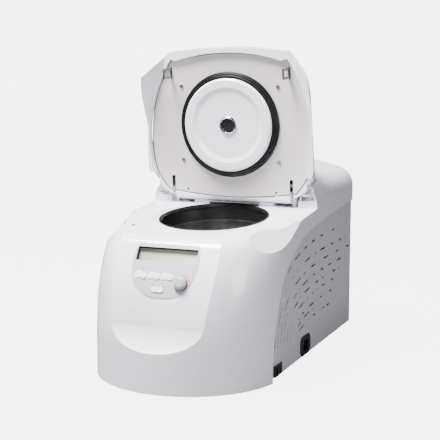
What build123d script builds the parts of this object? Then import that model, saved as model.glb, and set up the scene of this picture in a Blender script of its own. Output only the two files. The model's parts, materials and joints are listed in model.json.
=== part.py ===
from build123d import *
import os
from math import radians, degrees, sin, cos, tan, atan2, sqrt, exp, log, pi

os.makedirs("parts", exist_ok=True)

# Refrigerated microcentrifuge for 24 small tubes, lid open, X right, Y to the rear, Z up.
# The origin is on the bench under the middle of the body.

# Driving dimensions of the body, millimetres
body_width = 303.0
body_front = -276.0
body_rear = 276.0
nose_bulge = 5.5
nose_radius = body_width / 2 + nose_bulge
shoulder_blend = 150.0
rear_corner = 12.0
housing_wall = 2.4
crown_radius = 430.0
arch_corner = 42.0
side_trim = 0.05

# Closed outline along the middle: the lid rises to a level hood
hood_height = 318.0
lid_rise = 0.25
knee_y = 86.0

# The nose leans back as it rises, along a quarter ellipse
lean_start = 65.0
lean_back = 84.0
lean_rise = 170.0
lean_steps = 8
lean_turn = 83.0

# Bowl, deck and lid
deck_slope = 6.32
bowl_y = -35.6
mouth_height = 239.1
mouth_radius = 91.6
lid_gap = 12.6
lid_wall = 3.0
lip_rise = 6.0
lip_rear = -100.0
lid_lean = 3.81
hinge_reach = 103.1
hinge_drop = 22.7
trough_radius = 33.5
hood_radius = 40.0
hood_turn = 17.0
trough_half = 113.0
cheek_radius = 28.5
cheek_half = 137.0
riser_y = 50.0
pocket_x = 95.5
pocket_y = 62.0
pocket_width = 45.0
pocket_depth = 36.0
parting_gap = 1.2
seat_gap = 0.3

# Triangular side facets, where the lid's skirts come down
facet_low = (150.0, -108.0, 209.0)
facet_front = (107.0, -159.0)
facet_rear = (150.0, -35.0)

# Control face: an arc about an axis across the body
face_front = -257.2
face_axis_z = 58.4
face_radius = 270.6
face_axis_y = face_front + face_radius
face_low_z = 100.0
face_top_z = 214.0
panel_z = 178.0

# Sheet metal and feet
panel_gauge = 1.5
panel_foot = 10.0
seam_lap = 5.0
base_gauge = 2.0
flange_height = 4.5
foot_height = 9.0
skirt_bottom = 3.0

# Derived frame of the lid
slope = radians(deck_slope)
lid_travel = 90 + deck_slope - lid_lean
half_width = body_width / 2
nose_y = body_front + nose_radius
closed_y = bowl_y - lid_gap * sin(slope)
closed_z = mouth_height + lid_gap * cos(slope)
hinge_y = closed_y + hinge_reach * cos(slope) - hinge_drop * sin(slope)
hinge_z = closed_z + hinge_reach * sin(slope) + hinge_drop * cos(slope)
hinge_axis = Axis((0, hinge_y, hinge_z), (1, 0, 0))
lid_plane = Plane(origin=(0, closed_y, closed_z), x_dir=(1, 0, 0), z_dir=(0, sin(slope), -cos(slope)))
deck_plane = lid_plane.offset(lid_gap)
base_top = foot_height + base_gauge


def deck_z(y):
    return mouth_height + (y - bowl_y) * tan(slope)


def rim_z(y):
    return closed_z + (y - closed_y) * tan(slope)


def face_y(z, inset=0):
    return face_axis_y - sqrt((face_radius - inset) ** 2 - (z - face_axis_z) ** 2)


def face_at(x, s):
    """Plane on the control face, s millimetres up the face from its middle."""
    turn = atan2(panel_z - face_axis_z, face_axis_y - face_y(panel_z)) + s / face_radius
    origin = (x, face_axis_y - face_radius * cos(turn), face_axis_z + face_radius * sin(turn))
    return Plane(origin=origin, x_dir=(1, 0, 0), z_dir=(0, -cos(turn), sin(turn)))


def opened(solid):
    """A lid piece, drawn closed, turned to the open position."""
    return solid.rotate(hinge_axis, -lid_travel)


def finish(name, part):
    part.label = name
    export_step(part, f"parts/{name}.step")


def plan_outline(inset, run_on=0):
    """Plan of the body: straight sides and a round nose."""
    half = half_width - inset
    radius = nose_radius - inset
    turn_y = nose_y - sqrt(radius**2 - half**2)
    rear = body_rear - inset + run_on
    with BuildSketch() as plan:
        with BuildLine():
            Line((half, rear), (half, turn_y))
            ThreePointArc((half, turn_y), (0, nose_y - radius), (-half, turn_y))
            Polyline((-half, turn_y), (-half, rear), (half, rear))
        make_face()
        fillet(plan.vertices().group_by(Axis.Y)[-1], rear_corner - inset)
        fillet(plan.vertices().filter_by(lambda v: abs(v.Y - turn_y) < 0.01), shoulder_blend - inset)
    return plan.sketch


def arch_section(inset):
    """Section across the body at the knee: upright sides under a shallow crown."""
    half = half_width + side_trim - inset
    top = hood_height - inset
    spring = top - (crown_radius - sqrt(crown_radius**2 - half**2))
    with BuildSketch(Plane.XZ.offset(-knee_y)) as arch:
        with BuildLine():
            Polyline((-half, spring), (-half, -inset), (half, -inset), (half, spring))
            ThreePointArc((half, spring), (0, top), (-half, spring))
        make_face()
        fillet(arch.vertices().group_by(Axis.Y)[-1], arch_corner - inset)
    return arch.sketch


def envelope(inset):
    """Outer form of the whole body with the lid shut, drawn in by the inset."""
    with BuildPart() as form:
        extrude(arch_section(inset), amount=body_rear + 20 - knee_y, dir=(0, 1, 0))
        run = (knee_y - body_front + 20) * sqrt(1 + lid_rise**2)
        extrude(arch_section(inset), amount=run, dir=(0, -1, -lid_rise))
        with BuildSketch(Plane.XY.offset(-inset)):
            add(plan_outline(inset))
        extrude(amount=400, mode=Mode.INTERSECT)
    rise = lean_rise - inset
    with BuildPart() as lean:
        for step in range(lean_steps + 1):
            turn = radians(lean_turn) * step / lean_steps
            with BuildSketch(Plane.XY.offset(lean_start + rise * sin(turn))):
                with Locations((0, lean_back * (1 - cos(turn)))):
                    add(plan_outline(inset - side_trim, 30))
        loft()
    with BuildPart() as nose:
        with BuildSketch(Plane.XY.offset(-20)):
            add(plan_outline(inset - side_trim, 30))
        extrude(amount=lean_start + 20)
        add(lean.part)
        with BuildSketch(Plane.XY.offset(lean_start + rise * sin(radians(lean_turn)))):
            with Locations((0, lean_back * (1 - cos(radians(lean_turn))))):
                add(plan_outline(inset - side_trim, 30))
        extrude(amount=120)
    return form.part & nose.part


def plate_outline(grow):
    """Outline of the lid's inner plate, y towards the lid's front edge."""
    with BuildSketch() as outline:
        with BuildLine():
            ThreePointArc((-96, 106.5), (0, 120.6), (96, 106.5))
            Line((96, 106.5), (105.4, 109.2))
            side = ThreePointArc((105.4, 109.2), (137, 41.9), (144.5, -61))
            TangentArc((144.5, -61), (117, -114.5), tangent=side % 1)
            ThreePointArc((117, -114.5), (0, -124.5), (-117, -114.5))
            other = ThreePointArc((-105.4, 109.2), (-137, 41.9), (-144.5, -61))
            TangentArc((-144.5, -61), (-117, -114.5), tangent=other % 1)
            Line((-96, 106.5), (-105.4, 109.2))
        make_face()
        if grow:
            offset(amount=grow, kind=Kind.ARC if grow < 0 else Kind.INTERSECTION)
    return outline.sketch


def lid_plan():
    """Outline of the whole lid seen square to its plate."""
    with BuildSketch() as outline:
        with BuildLine():
            ThreePointArc((-107, 123), (0, 130), (107, 123))
            Polyline((107, 123), (200, 30), (200, -74), (151, -74))
            ThreePointArc((151, -74), (139, -103), (112, -123))
            Polyline((112, -123), (112, -200), (-112, -200), (-112, -123))
            ThreePointArc((-112, -123), (-139, -103), (-151, -74))
            Polyline((-151, -74), (-200, -74), (-200, 30), (-107, 123))
        make_face()
    return outline.sketch


def facet_plane(side):
    """Plane of one side facet, its normal up and outwards."""
    low = Vector(side * facet_low[0], facet_low[1], facet_low[2])
    front = Vector(side * facet_front[0], facet_front[1], rim_z(facet_front[1]))
    rear = Vector(side * facet_rear[0], facet_rear[1], deck_z(facet_rear[1]))
    normal = (front - low).cross(rear - low).normalized()
    if normal.Z < 0:
        normal = normal * -1
    return Plane(origin=low, x_dir=(rear - low).normalized(), z_dir=normal)


def lid_space(gap):
    """Space above the rim plane, forward of the hinge, its rear corners rounded by the hood's cheeks."""
    rear_v = gap - (hinge_y - closed_y) / cos(slope)
    side_v = gap - 72
    with BuildPart() as space:
        with BuildSketch(lid_plane.offset(-gap)):
            with BuildLine():
                Polyline((-137, rear_v), (137, rear_v))
                ThreePointArc((137, rear_v), (147, side_v - 16), (152, side_v))
                Polyline((152, side_v), (200, side_v), (200, 200), (-200, 200), (-200, side_v), (-152, side_v))
                ThreePointArc((-152, side_v), (-147, side_v - 16), (-137, rear_v))
            make_face()
        extrude(amount=-150)
    return space.part


def hinge_barrel(radius, half_length):
    """Solid cylinder about the hinge axis."""
    with BuildPart() as barrel:
        with Locations(Location((0, hinge_y, hinge_z), (0, 90, 0))):
            Cylinder(radius, 2 * half_length)
    return barrel.part


def hood_sweep(gap, closed):
    """Wider part of the hinge barrel, where the lid meets the hood."""
    with BuildPart() as reach:
        with Locations((0, hinge_y + hood_turn + gap, hinge_z)):
            Box(400, 100, 200, align=(Align.CENTER, Align.MIN, Align.CENTER))
        with Locations((0, hinge_y, hinge_z)):
            Box(400, 200, 100, align=(Align.CENTER, Align.CENTER, Align.MIN))
    with BuildPart() as sweep:
        add(hinge_barrel(hood_radius - gap, trough_half - gap))
        add(reach.part, mode=Mode.INTERSECT)
    if closed:
        return sweep.part.rotate(hinge_axis, lid_travel)
    return sweep.part


def deck_pocket(gap):
    """Recess in the deck that takes the lid's inner plate."""
    with BuildPart() as recess:
        with BuildSketch(deck_plane.offset(-gap)):
            add(plate_outline(2.0 - gap))
        extrude(amount=-60)
        with Locations((0, riser_y - gap, 200)):
            Box(400, 400, 200, align=(Align.CENTER, Align.MAX, Align.MIN), mode=Mode.INTERSECT)
    return recess.part


def side_clearance(gap):
    """Space over the rear of the deck, up to the riser."""
    start = facet_rear[1] + gap
    end = riser_y - gap
    with BuildPart() as space:
        with BuildSketch(Plane.YZ.offset(-200)):
            with BuildLine():
                Polyline((start, deck_z(start) + gap), (end, deck_z(end) + gap), (end, 300), (start, 300),
                         (start, deck_z(start) + gap))
            make_face()
        extrude(amount=400)
    return space.part


def facet_wedge(side, gap):
    """Space above one side facet, forward of its rear corner."""
    with BuildPart() as wedge:
        with BuildSketch(facet_plane(side).offset(gap)):
            Rectangle(600, 600)
        extrude(amount=250)
        with Locations((side * 60, facet_rear[1] + gap, 100)):
            Box(200, 400, 200, align=(Align.MIN if side > 0 else Align.MAX, Align.MAX, Align.MIN),
                mode=Mode.INTERSECT)
    return wedge.part


def hinge_pockets(gap):
    """Pockets in the riser that give the hinge brackets room."""
    with BuildPart() as pockets:
        with Locations((-pocket_x, pocket_y, deck_z(riser_y) + gap), (pocket_x, pocket_y, deck_z(riser_y) + gap)):
            Box(pocket_width - 2 * gap, pocket_depth - 2 * gap, 60, align=(Align.CENTER, Align.CENTER, Align.MIN))
    return pockets.part


def below_lid(form, gap, housing=True):
    """The form with the lid's space cut away, the parting surfaces raised by the gap."""
    form = form - lid_space(gap)
    form = form - hinge_barrel(trough_radius - gap, trough_half - gap)
    form = form - hinge_barrel(cheek_radius - gap, cheek_half - gap)
    form = form - hood_sweep(gap, not housing)
    form = form - side_clearance(gap)
    form = form - front_lip(gap)
    for side in (-1, 1):
        form = form - facet_wedge(side, gap)
    if housing:
        form = form - deck_pocket(gap)
        form = form - hinge_pockets(gap)
    return form


def lip_z(y):
    """Height of the front lip, over the face and forward of the deck."""
    return deck_z(y) + lip_rise / cos(slope)


def front_lip(gap):
    """Space over the front lip, where the lid's front edge comes down."""
    with BuildPart() as space:
        with BuildSketch(Plane.YZ.offset(-200)):
            with BuildLine():
                Polyline((lip_rear - gap, lip_z(lip_rear - gap) + gap), (-330, lip_z(-330) + gap),
                         (-330, 330), (lip_rear - gap, 330), (lip_rear - gap, lip_z(lip_rear - gap) + gap))
            make_face()
        extrude(amount=400)
    return space.part


def front_face_cut(inset):
    """Leaning control face, cut across the round nose and rolled back onto the lip."""
    low = (face_y(face_low_z, inset), face_low_z)
    middle = (face_y(156, inset), 156)
    top = (face_y(face_top_z, inset), face_top_z)
    lean = pi / 2 - atan2(face_top_z - face_axis_z, face_axis_y - face_y(face_top_z))
    chord = tan((lean + slope) / 2)
    roll_y = (lip_z(0) - face_top_z + chord * face_y(face_top_z)) / (chord - tan(slope))
    roll = (roll_y, lip_z(roll_y) - inset)
    with BuildPart() as cut:
        with BuildSketch(Plane.YZ.offset(-200)):
            with BuildLine():
                ThreePointArc((body_front - 1, 64 - inset), (-263 + 0.7 * inset, 80 - 0.7 * inset), low)
                panel = ThreePointArc(low, middle, top)
                TangentArc(top, roll, tangent=panel % 1)
                Polyline(roll, (roll_y, 330), (-330, 330), (-330, 64 - inset),
                         (body_front - 1, 64 - inset))
            make_face()
        extrude(amount=400)
    return cut.part


# Control panel layout on the face, millimetres from its middle
display_width = 100.0
display_height = 22.5
display_s = 28.75
display_depth = 7.0
overlay_gauge = 0.6
key_spots = (-36.4, -14.1, 7.9)
key_s = -6.3
key_rise = 1.2
key_travel = 0.8
key_gap = 0.4
start_spot = (-4.6, -25.7)
knob_spot = (32.2, -14.4)
knob_radius = 11.0
board_depth = 20.0

# Chamber and rotor
bowl_radius = 89.0
bowl_wall = 1.2
bowl_floor = 128.0
jacket_radius = 105.0
jacket_relief = 3.7
coil_tube = 3.0
coil_turns = 4
shaft_radius = 6.0
rotor_radius = 83.0
rotor_low = 146.0
rotor_top = 180.0
tube_count = 24

# Lid fittings, in the plane of the inner plate
plate_gauge = 1.5
ring_outer = 89.7
disc_radius = 78.8
disc_height = 13.3
ring_height = 12.2
sight_radius = 15.3
striker_x = 106.9
striker_v = 87.1
arm_x = 108.7
spring_x = 81.5
screw_spots = ((-87.6, 64.6), (87.6, 64.6), (-87.6, -61.8), (87.6, -61.8))
axle_radius = 5.0
axle_gap = 0.05

# Deck slots for the strikers, locks below them
slot_x = 106.9
slot_y = -125.5
slot_width = 6.0
slot_length = 27.0
lock_z = 204.0
lock_y = -107.0

# Right side fittings
inlet_y = -2.0
inlet_z = 27.5
switch_y = -134.5
switch_z = 20.0
panel_split_y = 262.0

# Vents: rows of slots bowed forward and down, each mark (y, z, length)
vent_y = 155.0
vent_z = 45.0
vent_slot = 2.2
DOT = 2.6
SHORT = 5.0
MID = 9.0
LONG = 13.0
vent_rows = (
    (199, -145, ((210, None, DOT), (155, None, MID), (86, None, MID), (39, None, MID), (-1, None, MID),
                 (-43, None, LONG), (-80, None, MID), (None, 156, DOT), (None, 138, LONG), (None, 118, DOT),
                 (None, 102, LONG), (None, 80, DOT), (None, 64, MID))),
    (175, -133, ((227, None, DOT), (198, None, MID), (148, None, MID), (116, None, DOT), (91, None, LONG),
                 (52, None, SHORT), (9, None, LONG), (-41, None, DOT), (-64, None, DOT), (None, 130, LONG),
                 (None, 112, DOT), (None, 96, LONG), (None, 76, DOT), (None, 62, MID))),
    (157, -120, ((246, None, MID), (178, None, MID), (149, None, DOT), (111, None, LONG), (74, None, DOT),
                 (41, None, LONG), (-6, None, SHORT), (-39, None, LONG), (None, 116, LONG), (None, 98, DOT),
                 (None, 80, LONG), (None, 62, MID))),
    (140, -105, ((232, None, DOT), (191, None, LONG), (135, None, MID), (90, None, MID), (46, None, SHORT),
                 (-3, None, LONG), (-30, None, DOT), (-52, None, MID), (None, 96, DOT), (None, 82, LONG),
                 (None, 62, MID))),
    (124, -90, ((190, None, DOT), (162, None, MID), (94, None, SHORT), (60, None, MID), (9, None, LONG),
                (-24, None, DOT), (-48, None, MID), (None, 80, DOT), (None, 64, LONG))),
    (110, -75, ((151, None, MID), (99, None, MID), (62, None, DOT), (38, None, SHORT), (10, None, DOT),
                (-21, None, LONG), (None, 74, DOT), (None, 60, MID))),
    (92, -60, ((168, None, DOT), (140, None, MID), (111, None, DOT), (84, None, SHORT), (33, None, LONG),
               (-11, None, SHORT), (-34, None, DOT))),
    (82, -50, ((115, None, DOT), (90, None, DOT), (58, None, DOT), (41, None, DOT), (8, None, LONG),
               (-30, None, MID))),
    (69, -38, ((128, None, MID), (102, None, SHORT), (80, None, DOT), (49, None, MID), (20, None, DOT),
               (-17, None, LONG))),
)

# Seam between the upper housing and each side panel, rear to front
seam_points = ((290, 241), (211, 236), (101.5, 226.6), (17, 218), (-30, 207), (-71, 188), (-110, 162),
               (-130, 130), (-145, 90), (-154, 0))


def face_layer(low, high, width=140):
    """Slice of a cylinder concentric with the control face."""
    with BuildPart() as layer:
        with Locations(Location((0, face_axis_y, face_axis_z), (0, 90, 0))):
            Cylinder(face_radius + high, width)
            Cylinder(face_radius + low, width, mode=Mode.SUBTRACT)
        with Locations((0, face_axis_y - 150, face_axis_z)):
            Box(width + 2, 400, 400, align=(Align.CENTER, Align.MAX, Align.MIN), mode=Mode.INTERSECT)
    return layer.part


def overlay_outline():
    """Shield-shaped control overlay."""
    with BuildSketch() as outline:
        with BuildLine():
            Line((-51, 46), (51, 46))
            ThreePointArc((51, 46), (54.5, 18), (47, -17))
            ThreePointArc((47, -17), (26, -34.8), (0, -38))
            ThreePointArc((0, -38), (-26, -34.8), (-47, -17))
            ThreePointArc((-47, -17), (-54.5, 18), (-51, 46))
        make_face()
        fillet(outline.vertices().group_by(Axis.Y)[-1], 5)
    return outline.sketch


def key_outline(grow):
    """Peanut-shaped key."""
    with BuildSketch() as outline:
        with Locations((-5.4, 0), (5.4, 0)):
            Circle(4.6 + grow)
        Rectangle(10.8, 7 + 2 * grow)
    return outline.sketch


def start_outline(grow):
    with BuildSketch() as outline:
        SlotOverall(21 + 2 * grow, 9 + 2 * grow)
    return outline.sketch


def through_face(outline, plane, depth=30, out=10):
    """An outline on the control face carried through the wall."""
    with BuildPart() as tool:
        with BuildSketch(plane.offset(out)):
            add(outline)
        extrude(amount=-(out + depth))
    return tool.part


def display_outline(grow):
    with BuildSketch() as outline:
        Rectangle(display_width + 2 * grow, display_height + 2 * grow)
    return outline.sketch


def knob_outline(radius):
    with BuildSketch() as outline:
        Circle(radius)
    return outline.sketch


def below_seam(lap, side):
    """Side view of everything under the seam."""
    with BuildPart() as region:
        with BuildSketch(Plane.YZ.offset(side * 120)):
            with BuildLine():
                seam = Spline([(y - lap * (y < 0), z + lap) for y, z in seam_points])
                Polyline(seam @ 1, (seam_points[-1][0] - lap, -30), (290, -30), seam @ 0)
            make_face()
        extrude(amount=side * 60)
    return region.part


def turned_about(axis_plane, points):
    """Solid of revolution about a plane's z axis from (radius, height) points."""
    with BuildPart() as solid:
        with BuildSketch(Plane(origin=axis_plane.origin, x_dir=axis_plane.x_dir,
                               z_dir=-axis_plane.y_dir)):
            with BuildLine():
                Polyline(*points, points[0])
            make_face()
        revolve(axis=Axis(axis_plane.origin, axis_plane.z_dir))
    return solid.part


bowl_plane = Plane(origin=(0, bowl_y, 0), x_dir=(1, 0, 0), z_dir=(0, 0, 1))
deck_up = Plane(origin=deck_plane.origin, x_dir=(1, 0, 0), z_dir=-deck_plane.z_dir)

# Upper housing: one moulded shell from nose to hood
form = envelope(0)
with BuildPart() as upper_housing:
    add(below_lid(form, 0) - front_face_cut(0))
    add(below_lid(envelope(housing_wall), -housing_wall) - front_face_cut(housing_wall), mode=Mode.SUBTRACT)
    Box(400, 700, 2 * skirt_bottom, mode=Mode.SUBTRACT)
    for side in (-1, 1):
        add(below_seam(0, side), mode=Mode.SUBTRACT)
    with Locations((0, body_rear, 0)):
        Box(2 * (half_width + 5), 2 * rear_corner + 2, 2 * 239, mode=Mode.SUBTRACT)
    with BuildSketch(deck_up.offset(-1.0)):
        Circle(mouth_radius + 8)
    extrude(amount=20, mode=Mode.SUBTRACT)
    with BuildSketch(deck_up.offset(-20)):
        Circle(mouth_radius + seat_gap)
    extrude(amount=40, mode=Mode.SUBTRACT)
    with Locations((-slot_x, slot_y, mouth_height), (slot_x, slot_y, mouth_height)):
        Box(slot_width, slot_length, 60, mode=Mode.SUBTRACT)
    with Locations((-arm_x, hinge_y + 4, deck_z(hinge_y)), (arm_x, hinge_y + 4, deck_z(hinge_y))):
        Box(8, 26, 30, mode=Mode.SUBTRACT)
    with Locations(Location((half_width, -152, 188), (0, 90, 0))):
        Cylinder(1.4, 30, mode=Mode.SUBTRACT)
    add(through_face(display_outline(1.4), face_at(0, display_s)), mode=Mode.SUBTRACT)
    for x in key_spots:
        add(through_face(key_outline(key_gap), face_at(x, key_s)), mode=Mode.SUBTRACT)
    add(through_face(start_outline(key_gap), face_at(*start_spot)), mode=Mode.SUBTRACT)
    add(through_face(knob_outline(3.6), face_at(*knob_spot)), mode=Mode.SUBTRACT)
finish("upper_housing", upper_housing.part)

# Control overlay, display and keys
with BuildPart() as control_overlay:
    add(face_layer(0.0, overlay_gauge))
    add(through_face(overlay_outline(), face_at(0, 0)), mode=Mode.INTERSECT)
    add(through_face(display_outline(0), face_at(0, display_s)), mode=Mode.SUBTRACT)
    for x in key_spots:
        add(through_face(key_outline(key_gap), face_at(x, key_s)), mode=Mode.SUBTRACT)
    add(through_face(start_outline(key_gap), face_at(*start_spot)), mode=Mode.SUBTRACT)
    add(through_face(knob_outline(3.6), face_at(*knob_spot)), mode=Mode.SUBTRACT)
finish("control_overlay", control_overlay.part)

with BuildPart() as display_bezel:
    add(through_face(display_outline(1.2), face_at(0, display_s), depth=display_depth + 2.5, out=0))
    add(through_face(display_outline(0), face_at(0, display_s)), mode=Mode.SUBTRACT)
    add(face_layer(-30, -0.2), mode=Mode.INTERSECT)
finish("display_bezel", display_bezel.part)

with BuildPart() as display_screen:
    with BuildSketch(face_at(0, display_s).offset(-display_depth)):
        add(display_outline(0))
    extrude(amount=-2.5)
finish("display_screen", display_screen.part)

for number, x in enumerate(key_spots, start=1):
    with BuildPart() as mode_key:
        with BuildSketch(face_at(x, key_s).offset(key_rise + overlay_gauge)):
            add(key_outline(0))
        extrude(amount=-(key_rise + overlay_gauge + 4.0))
    finish(f"mode_key_{number}", mode_key.part)

with BuildPart() as start_key:
    with BuildSketch(face_at(*start_spot).offset(key_rise + overlay_gauge)):
        add(start_outline(0))
    extrude(amount=-(key_rise + overlay_gauge + 4.0))
finish("start_key", start_key.part)

with BuildPart() as speed_knob:
    with BuildSketch(face_at(*knob_spot).offset(1.0)):
        Circle(knob_radius)
    extrude(amount=7.5, taper=4)
    fillet(speed_knob.edges().group_by(Axis((0, 0, 0), face_at(*knob_spot).z_dir))[-1], 6.0)
    with BuildSketch(face_at(*knob_spot).offset(1.0)):
        Circle(3.0)
    extrude(amount=-12)
finish("speed_knob", speed_knob.part)

board_plane = face_at(0, 6).offset(-board_depth)
with BuildPart() as control_board:
    with BuildSketch(board_plane):
        Rectangle(116, 92)
    extrude(amount=-1.6)
    with BuildSketch(board_plane):
        with Locations((0, display_s - 6)):
            Rectangle(96, 20)
    extrude(amount=board_depth - display_depth - 6)
    for x, s in [(x, key_s) for x in key_spots] + [start_spot]:
        with BuildSketch(face_at(x, s).offset(-5.2)):
            Rectangle(6, 6)
        extrude(amount=-(board_depth - 5.8))
finish("control_board", control_board.part)

with BuildPart() as knob_encoder:
    with BuildSketch(face_at(*knob_spot).offset(-board_depth + 1.6)):
        Rectangle(12, 12)
    extrude(amount=7.2)
finish("knob_encoder", knob_encoder.part)

# Chassis
with BuildPart() as base_plate:
    with BuildSketch(Plane.XY.offset(foot_height)):
        add(plan_outline(housing_wall + panel_gauge))
    extrude(amount=base_gauge)
    with BuildSketch(Plane.XY.offset(foot_height)):
        add(plan_outline(housing_wall + panel_gauge))
        add(plan_outline(housing_wall + 2 * panel_gauge), mode=Mode.SUBTRACT)
    extrude(amount=flange_height)
finish("base_plate", base_plate.part)

with BuildPart() as rubber_feet:
    with BuildSketch():
        with Locations((-112, -150), (112, -150), (-118, 235), (118, 235)):
            Circle(13)
    extrude(amount=foot_height)
    chamfer(rubber_feet.edges().group_by(Axis.Z)[0], 1.5)
finish("rubber_feet", rubber_feet.part)


def panel_skin():
    """Upright skin inside the housing wall, from the base to the seam."""
    with BuildPart() as skin:
        with BuildSketch(Plane.XY.offset(panel_foot)):
            add(plan_outline(housing_wall))
            add(plan_outline(housing_wall + panel_gauge), mode=Mode.SUBTRACT)
        extrude(amount=240)
    return skin.part


def vent_slots():
    """Bowed rows of vent slots, seen from the side."""
    with BuildSketch(Plane.YZ.offset(-200)) as slots:
        for top_z, front_y, marks in vent_rows:
            span_y = vent_y - front_y
            span_z = top_z - vent_z
            for y, z, length in marks:
                if z is None:
                    z = vent_z + span_z * (1 - (abs(y - vent_y) / span_y) ** 3) ** (1 / 3)
                else:
                    y = vent_y - span_y * (1 - ((z - vent_z) / span_z) ** 3) ** (1 / 3)
                rise = span_z / span_y * (abs(vent_y - y) / span_y) ** 2 / ((z - vent_z) / span_z) ** 2
                turn = degrees(atan2(rise if y < vent_y else -rise, 1))
                with Locations(Location((y, z, 0), (0, 0, turn))):
                    Rectangle(length, vent_slot)
    return slots.sketch


for side, name in ((-1, "left_side_panel"), (1, "right_side_panel")):
    with BuildPart() as side_panel:
        add(panel_skin())
        add(below_seam(seam_lap, side), mode=Mode.INTERSECT)
        with Locations((0, panel_split_y, 0)):
            Box(400, 200, 600, align=(Align.CENTER, Align.MIN, Align.CENTER), mode=Mode.SUBTRACT)
        add(upper_housing.part, mode=Mode.SUBTRACT)
        extrude(vent_slots(), amount=400, mode=Mode.SUBTRACT)
        if side > 0:
            with Locations((half_width, inlet_y, inlet_z)):
                Box(20, 30, 23, mode=Mode.SUBTRACT)
            with Locations((half_width, switch_y, switch_z)):
                Box(20, 26, 13, mode=Mode.SUBTRACT)
    finish(name, side_panel.part)

with BuildPart() as rear_panel:
    add(panel_skin())
    with Locations((0, panel_split_y + 0.4, panel_foot)):
        Box(400, 200, 238 - panel_foot, align=(Align.CENTER, Align.MIN, Align.MIN), mode=Mode.INTERSECT)
    with Locations((0, body_rear, 130)):
        with GridLocations(110, 12, 2, 12):
            Box(90, 20, 4, mode=Mode.SUBTRACT)
finish("rear_panel", rear_panel.part)

# Power inlet and switch on the right side
panel_face_x = half_width - housing_wall
with BuildPart() as power_inlet:
    with BuildSketch(Plane.YZ.offset(panel_face_x)):
        with Locations((inlet_y, inlet_z)):
            Rectangle(48, 33)
    extrude(amount=2.2)
    chamfer(power_inlet.edges().filter_by(Axis.X), 7)
    with Locations((panel_face_x, inlet_y, inlet_z)):
        Box(24, 29.4, 22.4, align=(Align.MAX, Align.CENTER, Align.CENTER))
    with Locations((panel_face_x + 2.2, inlet_y, inlet_z)):
        Box(16, 25, 16.5, align=(Align.MAX, Align.CENTER, Align.CENTER), mode=Mode.SUBTRACT)
finish("power_inlet", power_inlet.part)

with BuildPart() as inlet_pins:
    for y, z in ((inlet_y - 7, inlet_z - 2), (inlet_y + 7, inlet_z - 2), (inlet_y, inlet_z + 2)):
        with Locations((panel_face_x - 13.8, y, z)):
            Box(12, 4, 2, align=(Align.MIN, Align.CENTER, Align.CENTER))
finish("inlet_pins", inlet_pins.part)

with BuildPart() as switch_frame:
    with Locations((panel_face_x, switch_y, switch_z)):
        Box(2.0, 31, 18, align=(Align.MIN, Align.CENTER, Align.CENTER))
    with Locations((panel_face_x, switch_y, switch_z)):
        Box(16, 25.4, 12.4, align=(Align.MAX, Align.CENTER, Align.CENTER))
    with Locations((panel_face_x + 2.0, switch_y, switch_z)):
        Box(14, 22, 10, align=(Align.MAX, Align.CENTER, Align.CENTER), mode=Mode.SUBTRACT)
finish("switch_frame", switch_frame.part)

with BuildPart() as switch_rocker:
    with BuildSketch(Plane.XY.offset(switch_z - 4.7)):
        with BuildLine():
            Polyline((panel_face_x - 5, switch_y - 8), (panel_face_x + 3.4, switch_y - 10.4),
                     (panel_face_x + 1.4, switch_y), (panel_face_x + 1.6, switch_y + 10.4),
                     (panel_face_x - 5, switch_y + 8), (panel_face_x - 5, switch_y - 8))
        make_face()
    extrude(amount=9.4)
finish("switch_rocker", switch_rocker.part)

# Chamber
with BuildPart() as chamber_gasket:
    add(turned_about(deck_up, ((mouth_radius, 0.2), (mouth_radius - 1.2, 0.6), (bowl_radius - 1, -4),
                               (bowl_radius - 1, -8), (mouth_radius, -8))))
finish("chamber_gasket", chamber_gasket.part)

with BuildPart() as chamber_bowl:
    add(turned_about(bowl_plane, ((14, bowl_floor), (bowl_radius, bowl_floor), (bowl_radius, 250),
                                  (bowl_radius + bowl_wall, 250), (bowl_radius + bowl_wall, bowl_floor - bowl_wall),
                                  (14, bowl_floor - bowl_wall))))
    add(turned_about(bowl_plane, ((14, bowl_floor - bowl_wall), (14, bowl_floor + 10), (15.2, bowl_floor + 10),
                                  (15.2, bowl_floor - bowl_wall))))
    with BuildSketch(deck_up.offset(-8)):
        Rectangle(300, 300)
    extrude(amount=60, mode=Mode.SUBTRACT)
finish("chamber_bowl", chamber_bowl.part)

coil_radius = bowl_radius + bowl_wall + coil_tube + 0.2
with BuildPart() as evaporator_coil:
    with BuildLine():
        Helix(pitch=14, height=14 * coil_turns, radius=coil_radius, center=(0, bowl_y, bowl_floor + 8))
    with BuildSketch(Plane(origin=(coil_radius, bowl_y, bowl_floor + 8), x_dir=(1, 0, 0), z_dir=(0, 1, 0))):
        RegularPolygon(coil_tube, 6)
    sweep(is_frenet=True)
finish("evaporator_coil", evaporator_coil.part)

with BuildPart() as insulation_jacket:
    with Locations((0, bowl_y, 114)):
        Cylinder(jacket_radius, 140, align=(Align.CENTER, Align.CENTER, Align.MIN))
    with BuildSketch(deck_up.offset(-housing_wall - 0.3)):
        Rectangle(400, 400)
    extrude(amount=60, mode=Mode.SUBTRACT)
    with Locations((0, bowl_y, bowl_floor - bowl_wall - 0.3)):
        Cylinder(bowl_radius + bowl_wall + 0.3, 140, align=(Align.CENTER, Align.CENTER, Align.MIN),
                 mode=Mode.SUBTRACT)
        Cylinder(coil_radius + coil_tube + 0.4, 88, align=(Align.CENTER, Align.CENTER, Align.MIN),
                 mode=Mode.SUBTRACT)
    with BuildSketch(deck_up.offset(-8.3)):
        Circle(mouth_radius + jacket_relief)
    extrude(amount=20, mode=Mode.SUBTRACT)
    with Locations((0, bowl_y, 100)):
        Cylinder(16, 100, mode=Mode.SUBTRACT)
finish("insulation_jacket", insulation_jacket.part)

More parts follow.
